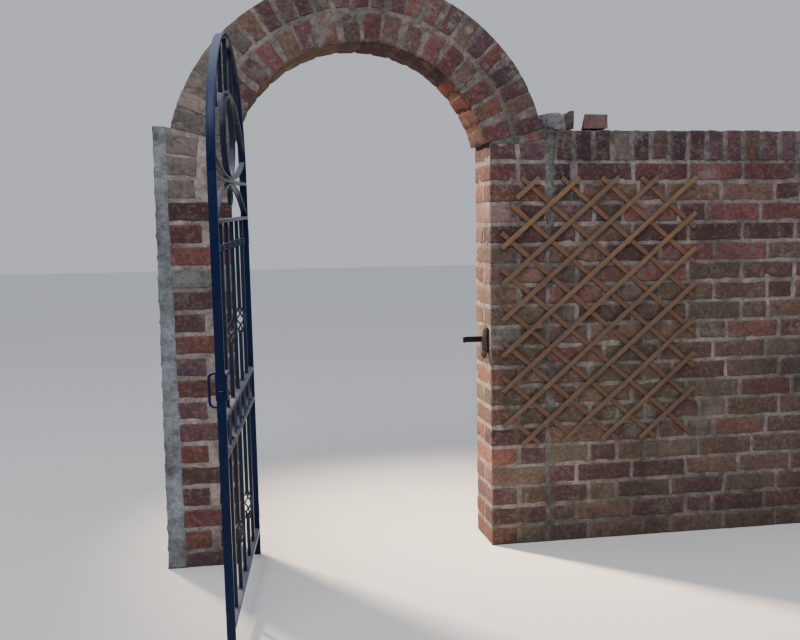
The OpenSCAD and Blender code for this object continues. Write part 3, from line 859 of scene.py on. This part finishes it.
garden = new_wall()
courses = round((wall_high.z - wall_low.z) / GARDEN_COURSE)
joints = []
for course in range(courses):
    opening = [wall_low.x - 0.003 if course > SLOT_HIDDEN_TO else slot_low.x + 0.009]
    if course == courses - 1:
        opening += [wall_low.x + joint for joint in TOP_JOINTS]
    joints = joints_of(joints, opening)
    for place_in_course, (start, end) in enumerate(zip(joints, joints[1:])):
        length = end - start - PERPEND
        if length < LEAST_BRICK:
            continue
        through = length < LONGEST_THROUGH
        depth = THROUGH if through else HALF_BRICK
        for side in (0,) if through else (-1, 1):
            y = side * (HALF_DEPTH - depth / 2) + chance.uniform(-0.001, 0.001)
            middle = (start + length / 2, y, garden_z(course) + chance.uniform(-0.001, 0.001))
            tone = GARDEN_TONES.get((course, place_in_course), chance.choice(GARDEN_COMMON))
            lay(garden, (length, depth, BRICK_H), Matrix.Translation(middle), tone)
add_bricks("garden_wall_bricks", garden, "garden_wall")
add_bed("garden_wall_bed", (wall_low.x, wall_high.x - RECESS), (0, wall_high.z), LIME_MORTAR, cell=0.014)

# %% [markdown]
# The coping is a row of bricks on edge, blackened by rain, with one grey brick here and there.

# %% Coping
cope_low, cope_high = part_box("coping")
COPE_JOINT = 0.013
COPE_BED_DROP = 0.006
COPING_TONES = ("dark", "black", "dark", "grey", "black", "dark", "black", "dark", "purple", "dark", "brown",
                "dark", "purple", "grey", "dark", "red", "black")
cope = new_wall()
pitch = (cope_high.x - cope_low.x) / len(COPING_TONES)
size = (pitch - COPE_JOINT, 2 * HALF_DEPTH - HAIR, cope_high.z - cope_low.z - HAIR)
for k, tone in enumerate(COPING_TONES):
    middle = (cope_low.x + (k + 0.5) * pitch, 0, (cope_low.z + cope_high.z) / 2 - chance.uniform(0, 0.002))
    lay(cope, size, Matrix.Translation(middle), tone, wear=1.4)
add_bricks("coping_bricks", cope, "coping")
cope_zs = (cope_low.z - COPE_BED_DROP, cope_high.z - COPE_BED_DROP)
add_bed("coping_bed", (cope_low.x, cope_high.x - RECESS), cope_zs, COPE_MORTAR)

# %% [markdown]
# On the coping lie a loose half brick and a lump of old mortar with the end of a brick in it. A break follows
# a plane: what lies past it is pressed back to it, unevenly. A clean cut would leave a flat face, and a
# broken brick has none.

# %% Loose half brick
loose_low, loose_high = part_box("loose_brick")
loose_size = loose_high - loose_low
BREAK_TOP = 0.026


def break_off(bm, point, normal, depth=0.003):
    """Breaks a brick along a plane, given by a point of it and the way it faces."""
    normal = Vector(normal).normalized()
    for vert in bm.verts:
        past = (vert.co - point).dot(normal)
        if past > 0:
            vert.co -= normal * (past + depth * (0.5 + noise.noise(vert.co * 45)))


loose = new_wall()
lay(loose, [extent - HAIR for extent in loose_size], Matrix.Translation((loose_low + loose_high) / 2), "rosy",
    wear=1.4)
break_top = Vector((loose_low.x + loose_size.x / 2, loose_low.y + BREAK_TOP, loose_high.z))
break_off(loose, break_top, (-0.25 * loose_size.z, loose_size.z, loose_size.y - BREAK_TOP))
break_off(loose, Vector((loose_low.x + 0.006, loose_low.y, loose_low.z)), (-0.96, 0.27, 0.06), 0.002)
add_bricks("loose_half_brick", loose, "loose_brick")

# %% [markdown]
# The lump was a trowel of mortar that set where it fell. It is a ball made squarer by a power of its own
# coordinates and roughened deep, which keeps its cells even, and it is held inside the fixed model's box. The
# brick end that stands in it leans a little and is broken along two planes.

# %% Lump of mortar with a broken brick end
lump_low, lump_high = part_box("coping_lump")
lump_size = lump_high - lump_low
CHIP_W = 0.034
HEAP_H = 0.069
HEAP_LAP = 0.007
SQUARENESS = (0.6, 0.7, 0.5)
heap_size = Vector(((lump_size.x - CHIP_W) / 2 + HEAP_LAP, lump_size.y / 2, HEAP_H))
heap_place = Vector((lump_low.x + heap_size.x, (lump_low.y + lump_high.y) / 2, lump_low.z))
heap = bmesh.new()
bmesh.ops.create_icosphere(heap, subdivisions=5, radius=1)
for vert in heap.verts:
    for axis, power in enumerate(SQUARENESS):
        vert.co[axis] = math.copysign(abs(vert.co[axis]) ** power, vert.co[axis]) * heap_size[axis]
bmesh.ops.translate(heap, vec=heap_place, verts=heap.verts)
roughen(heap, 0.0050, coarse=38, fine=110)
for vert in heap.verts:
    for axis in range(3):
        vert.co[axis] = min(max(vert.co[axis], lump_low[axis]), lump_high[axis])
add_mortar("mortar_heap", heap, HEAP_MORTAR, stands_for=["coping_lump"])

chip = new_wall()
chip_size = (CHIP_W - 0.002, lump_size.y - 0.024, lump_size.z - 0.003)
chip_place = Vector((lump_high.x - CHIP_W / 2 - HAIR, heap_place.y - 0.006, lump_low.z + chip_size[2] / 2))
chip_lean = Matrix.Rotation(math.radians(2), 4, "Y")
lay(chip, chip_size, Matrix.Translation(chip_place) @ chip_lean, "purple", wear=2)
top_back = Vector((chip_place.x, lump_low.y + 0.11, lump_high.z))
break_off(chip, top_back, (0.2, 0.5, 0.8), depth=0.005)
break_off(chip, Vector((lump_high.x, top_back.y, lump_high.z)), (-0.62, 0.1, 0.78), depth=0.004)
add_bricks("brick_end_in_lump", chip)

# %% [markdown]
# The keep was let into the latch pier and made good with mortar, which is thickest in the middle and is
# feathered out to nothing at an uneven rim.

# %% Mortar round the keep
patch_low, patch_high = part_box("keep_mortar")
FEATHER_FROM = 0.45
patch = slab(patch_low, patch_high + Vector((0.004, 0, 0)), cell=0.005, depth=0.0008)
patch_middle = (patch_low + patch_high) / 2
patch_half = (patch_high - patch_low) / 2
for vert in patch.verts:
    out_y = abs(vert.co.y - patch_middle.y) / patch_half.y
    out_z = abs(vert.co.z - patch_middle.z) / patch_half.z
    rim = max(out_y, out_z) + 0.25 * noise.noise(vert.co * 60)
    fall = min(1.0, max(0.0, (rim - FEATHER_FROM) / (1 - FEATHER_FROM)))
    vert.co.x += (patch_high.x + 0.003 - vert.co.x) * fall * fall
add_mortar("keep_patch", patch, KEEP_MORTAR, stands_for=["keep_mortar"])

# %% [markdown]
# ## The trellis
#
# Softwood slats are nailed over each other in two layers: those that rise to the right lie in front. A slat
# is a long cut block with softened arrises and a slight bow. Its grain runs along it whichever way it leans,
# so each point keeps its place in the straight slat as an attribute, and the shader stretches noise along
# that. The slats are warm brown near the coping and greyer below. Those behind are redder, and darker as
# painted shade from the layer in front. Each has its own share of weather.

# %% Trellis timber
def make_timber():
    finish = Finish("trellis_timber")
    where = finish.place()
    straight = finish.attribute("grain", "Vector")
    own = finish.attribute("slat", "Fac")
    long_grain = finish.noise(finish.stretch(straight, (6, 60, 160)), 1.0, 6, 0.65, 0.5)
    fibre = finish.noise(finish.stretch(straight, (20, 500, 900)), 1.0, 3, 0.6)
    low_down = 1.0 - finish.band(finish.part(where, "Z"), 0.70, 1.30)
    stain = finish.band(finish.noise(where, 9, 5, 0.6), 0.4, 0.7)
    # The slats behind are redder, and darker as painted shade from the layer in front.
    behind = finish.band(own, 0.0, -0.01)
    low_wood = finish.mix(long_grain, colour(70, 55, 47), colour(120, 97, 81))
    back_wood = finish.mix(long_grain, colour(70, 42, 36), colour(112, 72, 58))
    face = finish.coats(
        finish.mix(long_grain, colour(84, 64, 51), colour(146, 114, 90)),
        (finish.band(own, 0.2, 0.9) * 0.7, colour(94, 80, 68)),
        (finish.band(own, 0.82, 0.84) * 0.5, colour(134, 92, 74)),
        (low_down, low_wood),
        (behind * 0.45, back_wood),
        (stain * 0.35, colour(70, 56, 46)),
    )
    finish.feed("Base Color", finish.grit(face, 0.3, fibre, 0.3, 0.72))
    finish.feed("Roughness", 0.85)
    finish.feed("Specular IOR Level", 0.3)
    finish.bump(0.7 * long_grain + 0.6 * fibre, 0.0009)
    return finish.material


TRELLIS_TIMBER = make_timber()

# %% [markdown]
# The places where slats cross make the grid of half diamonds, and a slat runs from its first crossing to its
# last and a little past them. Two slats are broken short at the top left corner.

# %% Trellis slats
DIAMOND_W = 0.1575
DIAMOND_H = 0.1355
ACROSS = 9
UP = 14
FIRST_X = reveal_low.x + 0.078
FIRST_Z = 1.369
SLAT_W = 0.0174
SLAT_T = 0.007
SLAT_CELL = 0.02
SLAT_ARRIS = 0.001
SLAT_END = 0.044
BROKEN_RISE = 0.031
BROKEN_FALL = 0.005
BOW = 0.0012
NAILED = 0.0008
SLAT_LEAN = math.atan2(DIAMOND_H, DIAMOND_W)

trellis = bmesh.new()
trellis.verts.layers.float_vector.new("grain")
trellis.verts.layers.float.new("slat")


def crossing(across, down):
    """Place of a crossing, counted from the left and down from the top row."""
    return Vector((FIRST_X + across * DIAMOND_W / 2, 0, FIRST_Z - down * DIAMOND_H / 2))


def add_slat(first, last, lean, y, left_end):
    """Adds a slat through the crossings from the first to the last. Its left end may be broken off."""
    slat = block(((last - first).length + left_end + SLAT_END, SLAT_T, SLAT_W), SLAT_CELL)
    round_arrises(slat, SLAT_ARRIS)
    number = chance.random()
    slat_mesh = to_mesh("slat", slat)
    begin = len(trellis.verts)
    trellis.from_mesh(slat_mesh)
    bpy.data.meshes.remove(slat_mesh)
    trellis.verts.ensure_lookup_table()
    grain = trellis.verts.layers.float_vector["grain"]
    shade = trellis.verts.layers.float["slat"]
    middle = (first + last) / 2 + (last - first).normalized() * (SLAT_END - left_end) / 2
    place = Matrix.Translation(middle + Vector((0, y, 0))) @ Matrix.Rotation(-lean * SLAT_LEAN, 4, "Y")
    for vert in trellis.verts[begin:]:
        vert[grain] = vert.co + Vector((number * 9, number * 5, 0))
        vert[shade] = number if lean > 0 else number - 1
        vert.co.z += BOW * noise.noise(Vector((vert.co.x * 4, number * 50, 0)))
        vert.co = place @ vert.co


for row in range(1, ACROSS + UP + 1, 2):
    first = max(0, row - UP)
    last = min(ACROSS, row)
    if last > first:
        left_end = -BROKEN_RISE if row == 1 else SLAT_END
        y = front - 1.5 * SLAT_T + NAILED
        add_slat(crossing(first, row - first), crossing(last, row - last), 1, y, left_end)
for row in range(1 - UP, ACROSS + 1, 2):
    first = max(0, row)
    last = min(ACROSS, row + UP)
    if last > first:
        left_end = -BROKEN_FALL if row == -1 else SLAT_END
        add_slat(crossing(first, first - row), crossing(last, last - row), -1, front - 0.5 * SLAT_T, left_end)
add_piece("trellis_slats", trellis, [TRELLIS_TIMBER], stands_for=["trellis"])

# %% [markdown]
# ## The ironwork
#
# The frame kept its deep blue paint, the bars inside it have weathered to a dusty grey blue, which is lighter
# also as painted sheen, and the keep on the pier is near black. One recipe makes the three paints: a brush's
# waves, drops, dust where a face looks up, laid in with painted sky sheen, and a little rust. What gloss
# would mirror is laid in as tints, the sky on faces that look up and the floor on those that look down, so it
# stays when the finish is baked.

# %% Iron paint
DROPS = colour(70, 84, 112)
# A pale bluish grey for dust, which also stands in as painted sky sheen on faces that look up.
DUST_AND_SKY_SHEEN = colour(140, 142, 154)
FLOOR_GLOW = colour(158, 148, 138)
RUST = colour(74, 46, 36)


def make_paint(name, dark, light, sky_tint):
    finish = Finish(name)
    where = finish.place()
    facing_up = finish.facing_up()
    wave = finish.noise(where, 60, 4, 0.6)
    flow = finish.noise(where, 9, 3, 0.5)
    speckle = finish.noise(where, 210, 4, 0.7)
    rust = finish.band(finish.noise(where, 40, 6, 0.74, 0.5), 0.64, 0.70)
    # Dust on faces that look up, with painted sky sheen laid in with it.
    dust_and_sky_sheen = finish.band(facing_up + 0.3 * speckle, 0.55, 1.05)
    drops = finish.band(finish.noise(where, 130, 3, 0.6), 0.62, 0.72)
    face = finish.coats(
        finish.mix(wave, colour(*dark), colour(*light)),
        (finish.band(facing_up, 0.05, 0.80) * 0.4, colour(*sky_tint)),
        (drops * 0.16, DROPS),
        (dust_and_sky_sheen * 0.50, DUST_AND_SKY_SHEEN),
        (finish.band(facing_up, -0.97, -0.99) * 0.5, FLOOR_GLOW),
        (rust * 0.5, RUST),
    )
    finish.feed("Base Color", face)
    finish.feed("Roughness", 0.28 + 0.14 * wave + 0.35 * dust_and_sky_sheen + 0.4 * rust)
    finish.feed("Specular IOR Level", 0.14)
    finish.bump(0.5 * wave + 0.25 * flow + 0.2 * speckle - 0.6 * rust, 0.0006)
    return finish.material


NAVY_PAINT = make_paint("navy_paint", (2, 11, 36), (5, 25, 68), (54, 76, 122))
# Paler and greyer than the frame's paint: weathered paint, and painted sheen on the thin inner bars.
WORN_AND_SHEEN_PAINT = make_paint("worn_sheen_paint", (12, 18, 32), (36, 44, 64), (74, 88, 118))
BLACK_IRON = make_paint("black_iron", (12, 11, 10), (38, 33, 29), (62, 58, 56))

# %% [markdown]
# The bars are right as they are in the fixed model, but a smith's bar has no razor edge, and paint fills
# every corner. So each bar is a copy of its node: the loose triangles are merged, flat faces joined again,
# and the arrises bevelled. Baskets and collars are drawn anew, because their roundness is what shows.

# %% Copies of the bars with rounded arrises
IRON_ARRIS = 0.0011
FRAME_BARS = ("hinge_stile", "lock_stile", "head_bar", "bottom_rail", "lock_case", "latch_tongue",
              "pull_handle", "top_hinge_eye", "bottom_hinge_eye")
INNER_BARS = ("inner_arch", "top_rail", "neck_rail", "upper_lock_rail", "lower_lock_rail", "uprights",
              "lock_rail_rings", "head_rings", "fishtail_scrolls")


def forge(bars, body, paint):
    """Replaces bars of the fixed model with copies that have rounded arrises."""
    for node in bars:
        bm = bmesh.new()
        bm.from_mesh(nodes[node].data)
        bmesh.ops.remove_doubles(bm, verts=bm.verts, dist=0.00002)
        bmesh.ops.dissolve_limit(bm, angle_limit=math.radians(1), verts=bm.verts, edges=bm.edges)
        round_arrises(bm, IRON_ARRIS)
        add_piece(node + "_iron", bm, [paint], body, [node])


forge(FRAME_BARS, "leaf", NAVY_PAINT)
forge(INNER_BARS, "leaf", WORN_AND_SHEEN_PAINT)
forge(("top_pintle", "bottom_pintle"), "gateway", NAVY_PAINT)
forge(("strike_plate", "stop_bar"), "gateway", BLACK_IRON)

# %% [markdown]
# ## The small ironwork
#
# Small parts are easiest to place in the leaf's own frame, where the leaf is flat, upright and starts at the
# hinge line. One matrix carries them from there to where the leaf hangs: it opens the leaf, then leans it
# with its pintles. The same matrix turned round measures the fixed bars, so no size is written twice.

# %% The leaf's own frame
hinge = frame["joints"][0]
hinge_axis = Vector(hinge["axis"])
OPEN = math.radians(96.5)
lean_front = math.asin(-hinge_axis.y)
lean_side = math.atan2(hinge_axis.x, hinge_axis.z)
leaf_frame = (Matrix.Translation(hinge["pos_m"]) @ Matrix.Rotation(lean_side, 4, "Y")
              @ Matrix.Rotation(lean_front, 4, "X") @ Matrix.Rotation(-OPEN, 4, "Z"))


def leaf_box(node):
    """Low and high corner of a fixed bar, measured in the leaf's own frame."""
    back_to_leaf = leaf_frame.inverted()
    points = [back_to_leaf @ vert.co for vert in nodes[node].data.vertices]
    low = Vector([min(point[axis] for point in points) for axis in range(3)])
    high = Vector([max(point[axis] for point in points) for axis in range(3)])
    return low, high


collar_low, collar_high = leaf_box("collars")
UPRIGHT = 0.012
UPRIGHT_COUNT = 5
first_upright = collar_low.x + UPRIGHT
upright_pitch = (collar_high.x - UPRIGHT - first_upright) / (UPRIGHT_COUNT - 1)
upright_xs = [first_upright + k * upright_pitch for k in range(UPRIGHT_COUNT)]
print("uprights at", [round(x, 3) for x in upright_xs])

# %% [markdown]
# Collars, caps and screw heads are turned shapes: a line of points is spun round an axis. A spin leaves its
# points anywhere in the mesh, so the new shape is found by walking along its edges before it is moved. Wires
# are rings joined along a line.

# %% Turned shapes and tubes
def turned(bm, profile, place, steps=20):
    """Spins a line of (radius, height) points round an axis and carries the shape to its place."""
    line = [bm.verts.new((radius, 0, height)) for radius, height in profile]
    edges = [bm.edges.new(pair) for pair in zip(line, line[1:])]
    bmesh.ops.spin(bm, geom=line + edges, cent=(0, 0, 0), axis=(0, 0, 1), angle=2 * math.pi, steps=steps,
                   use_merge=True)
    reached = {vert for edge in edges for vert in edge.verts}
    border = list(reached)
    while border:
        vert = border.pop()
        for edge in vert.link_edges:
            other = edge.other_vert(vert)
            if other not in reached:
                reached.add(other)
                border.append(other)
    bmesh.ops.transform(bm, matrix=place, verts=list(reached))


def tube(bm, points, radius):
    """A round wire along a line of points."""
    rings = []
    for here, point in enumerate(points):
        along = points[min(here + 1, len(points) - 1)] - points[max(here - 1, 0)]
        place = Matrix.Translation(point) @ along.to_track_quat("Z", "Y").to_matrix().to_4x4()
        made = bmesh.ops.create_circle(bm, segments=8, radius=radius, matrix=place)
        rings.append({edge for vert in made["verts"] for edge in vert.link_edges})
    for first, second in zip(rings, rings[1:]):
        bmesh.ops.bridge_loops(bm, edges=list(first | second))


def hang(name, bm, stands_for=(), paint=WORN_AND_SHEEN_PAINT):
    """Carries a shape from the leaf's own frame to the leaf, and adds it."""
    bmesh.ops.transform(bm, matrix=leaf_frame, verts=bm.verts)
    bmesh.ops.recalc_face_normals(bm, faces=bm.faces)
    add_piece(name, bm, [paint], "leaf", stands_for)


# %% [markdown]
# A hand's breadth under the neck rail each upright wears a collar of three reeds. Its profile is three bumps
# of a sine, flattened by a power so that the grooves between them stay narrow.

# %% Collars
REEDS = 3
REED_STEPS = 24
COLLAR_NECK = 0.0080
COLLAR_R = 0.0118
collar_h = collar_high.z - collar_low.z
collar_z = (collar_low.z + collar_high.z) / 2
collar_bm = bmesh.new()
profile = []
for step in range(REED_STEPS + 1):
    t = step / REED_STEPS
    reed = abs(math.sin(REEDS * math.pi * t))
    profile.append((COLLAR_NECK + (COLLAR_R - COLLAR_NECK) * reed ** 0.6, (t - 0.5) * collar_h))
for x in upright_xs:
    turned(collar_bm, profile, Matrix.Translation((x, 0, collar_z)))
hang("reeded_collars", collar_bm, ["collars"])

# %% [markdown]
# A basket is four wires forged together at both ends and untwisted until they bulge. Each wire makes half a
# turn, and its distance from the axis follows a cosine, from a cap out to the belly and back to a cap.

# %% Baskets
basket_low, basket_high = leaf_box("baskets")
BASKET_H = 0.084
BASKET_WIRE = 0.0028
BASKET_R = 0.0172
WIRE_STEPS = 14
CAP_R = 0.0054
CAP = [(0.0072, 0), (0.0082, 0.0012), (0.0084, 0.0035), (0.0076, 0.0058), (0.0066, 0.0072)]
basket_bm = bmesh.new()
for z in (basket_low.z + BASKET_H / 2, basket_high.z - BASKET_H / 2):
    for x in (upright_xs[1], upright_xs[3]):
        for start in range(4):
            line = []
            for step in range(2 * WIRE_STEPS + 1):
                t = step / WIRE_STEPS - 1
                radius = CAP_R + (BASKET_R - CAP_R) * math.cos(math.pi / 2 * t)
                angle = math.pi / 4 + start * math.pi / 2 + math.pi / 2 * t
                height = (BASKET_H / 2 - 0.004) * t
                line.append(Vector((x + radius * math.cos(angle), radius * math.sin(angle), z + height)))
            tube(basket_bm, line, BASKET_WIRE)
        for end in (-1, 1):
            turn_over = Matrix.Rotation(0 if end < 0 else math.pi, 4, "X")
            turned(basket_bm, CAP, Matrix.Translation((x, 0, z + end * BASKET_H / 2)) @ turn_over)
hang("twisted_baskets", basket_bm, ["baskets"])

# %% [markdown]
# Where bars meet, the weld leaves beads: along the rails on all four sides of each upright, at the rails'
# ends, and where the rings between the lock rails touch them. A rail is welded to the uprights on its low
# edge, on its high edge or on both, and the top rail only at its ends.

# %% Weld beads
BEAD_ALONG = (0.013, 0.005, 0.0045)
BEAD_ACROSS = (0.005, 0.013, 0.0045)
RAIL_END_BEAD = (0.005, 0.022, 0.005)
RING_BEAD = (0.009, 0.010, 0.005)
LOW_EDGE = 0
HIGH_EDGE = 1
WELDED_EDGES = {
    "bottom_rail": (HIGH_EDGE,),
    "lower_lock_rail": (LOW_EDGE, HIGH_EDGE),
    "upper_lock_rail": (LOW_EDGE, HIGH_EDGE),
    "neck_rail": (LOW_EDGE,),
    "top_rail": (),
}
beads = bmesh.new()


def bead(x, y, z, size):
    """A lump of weld: a small ball, flattened and made uneven."""
    place = Vector((x, y, z))
    made = bmesh.ops.create_icosphere(beads, subdivisions=2, radius=0.5)
    for vert in made["verts"]:
        vert.co *= 1 + 0.35 * noise.noise(vert.co * 4 + place * 90)
        vert.co = place + Vector([vert.co[axis] * size[axis] for axis in range(3)])


rail_edges = {}
for rail, welded in WELDED_EDGES.items():
    low, high = leaf_box(rail)
    rail_edges[rail] = (low.z, high.z)
    for x in upright_xs:
        for edge in welded:
            z = rail_edges[rail][edge]
            for side in (-1, 1):
                bead(x + chance.uniform(-0.001, 0.001), side * UPRIGHT / 2, z, BEAD_ALONG)
                bead(x + side * UPRIGHT / 2, chance.uniform(-0.001, 0.001), z, BEAD_ACROSS)
    for x in (low.x, high.x):
        for z in rail_edges[rail]:
            bead(x, 0, z, RAIL_END_BEAD)
half_pitch = (upright_xs[1] - upright_xs[0]) / 2
for x in [upright_xs[0] - half_pitch] + [x + half_pitch for x in upright_xs]:
    for z in (rail_edges["upper_lock_rail"][LOW_EDGE], rail_edges["lower_lock_rail"][HIGH_EDGE]):
        for side in (-1, 1):
            bead(x + side * 0.006, 0, z, RING_BEAD)
hang("weld_beads", beads)

# %% [markdown]
# The lock case is held by four dome-headed screws a side, round a turned plate for the key.

# %% Lock furniture
case_low, case_high = leaf_box("lock_case")
case_middle = (case_low + case_high) / 2
SCREW_INSET = 0.009
KEYHOLE_Z = 0.79
DOME = [(0.0042, 0), (0.0040, 0.0008), (0.0030, 0.0017), (0.0016, 0.0022), (0.0001, 0.0024)]
KEY_PLATE = [(0.0085, 0), (0.0085, 0.0012), (0.0078, 0.0016), (0.0052, 0.0016), (0.0052, 0)]
lock_bm = bmesh.new()
for side in (-1, 1):
    face_y = case_middle.y + side * (case_high.y - case_low.y) / 2
    flat = Matrix.Rotation(-side * math.pi / 2, 4, "X")
    for x in (case_low.x + SCREW_INSET, case_high.x - SCREW_INSET):
        for z in (case_low.z + SCREW_INSET, case_high.z - SCREW_INSET):
            turned(lock_bm, DOME, Matrix.Translation((x, face_y, z)) @ flat, steps=12)
    turned(lock_bm, KEY_PLATE, Matrix.Translation((case_middle.x, face_y, KEYHOLE_Z)) @ flat, steps=24)
hang("lock_screws", lock_bm, paint=NAVY_PAINT)
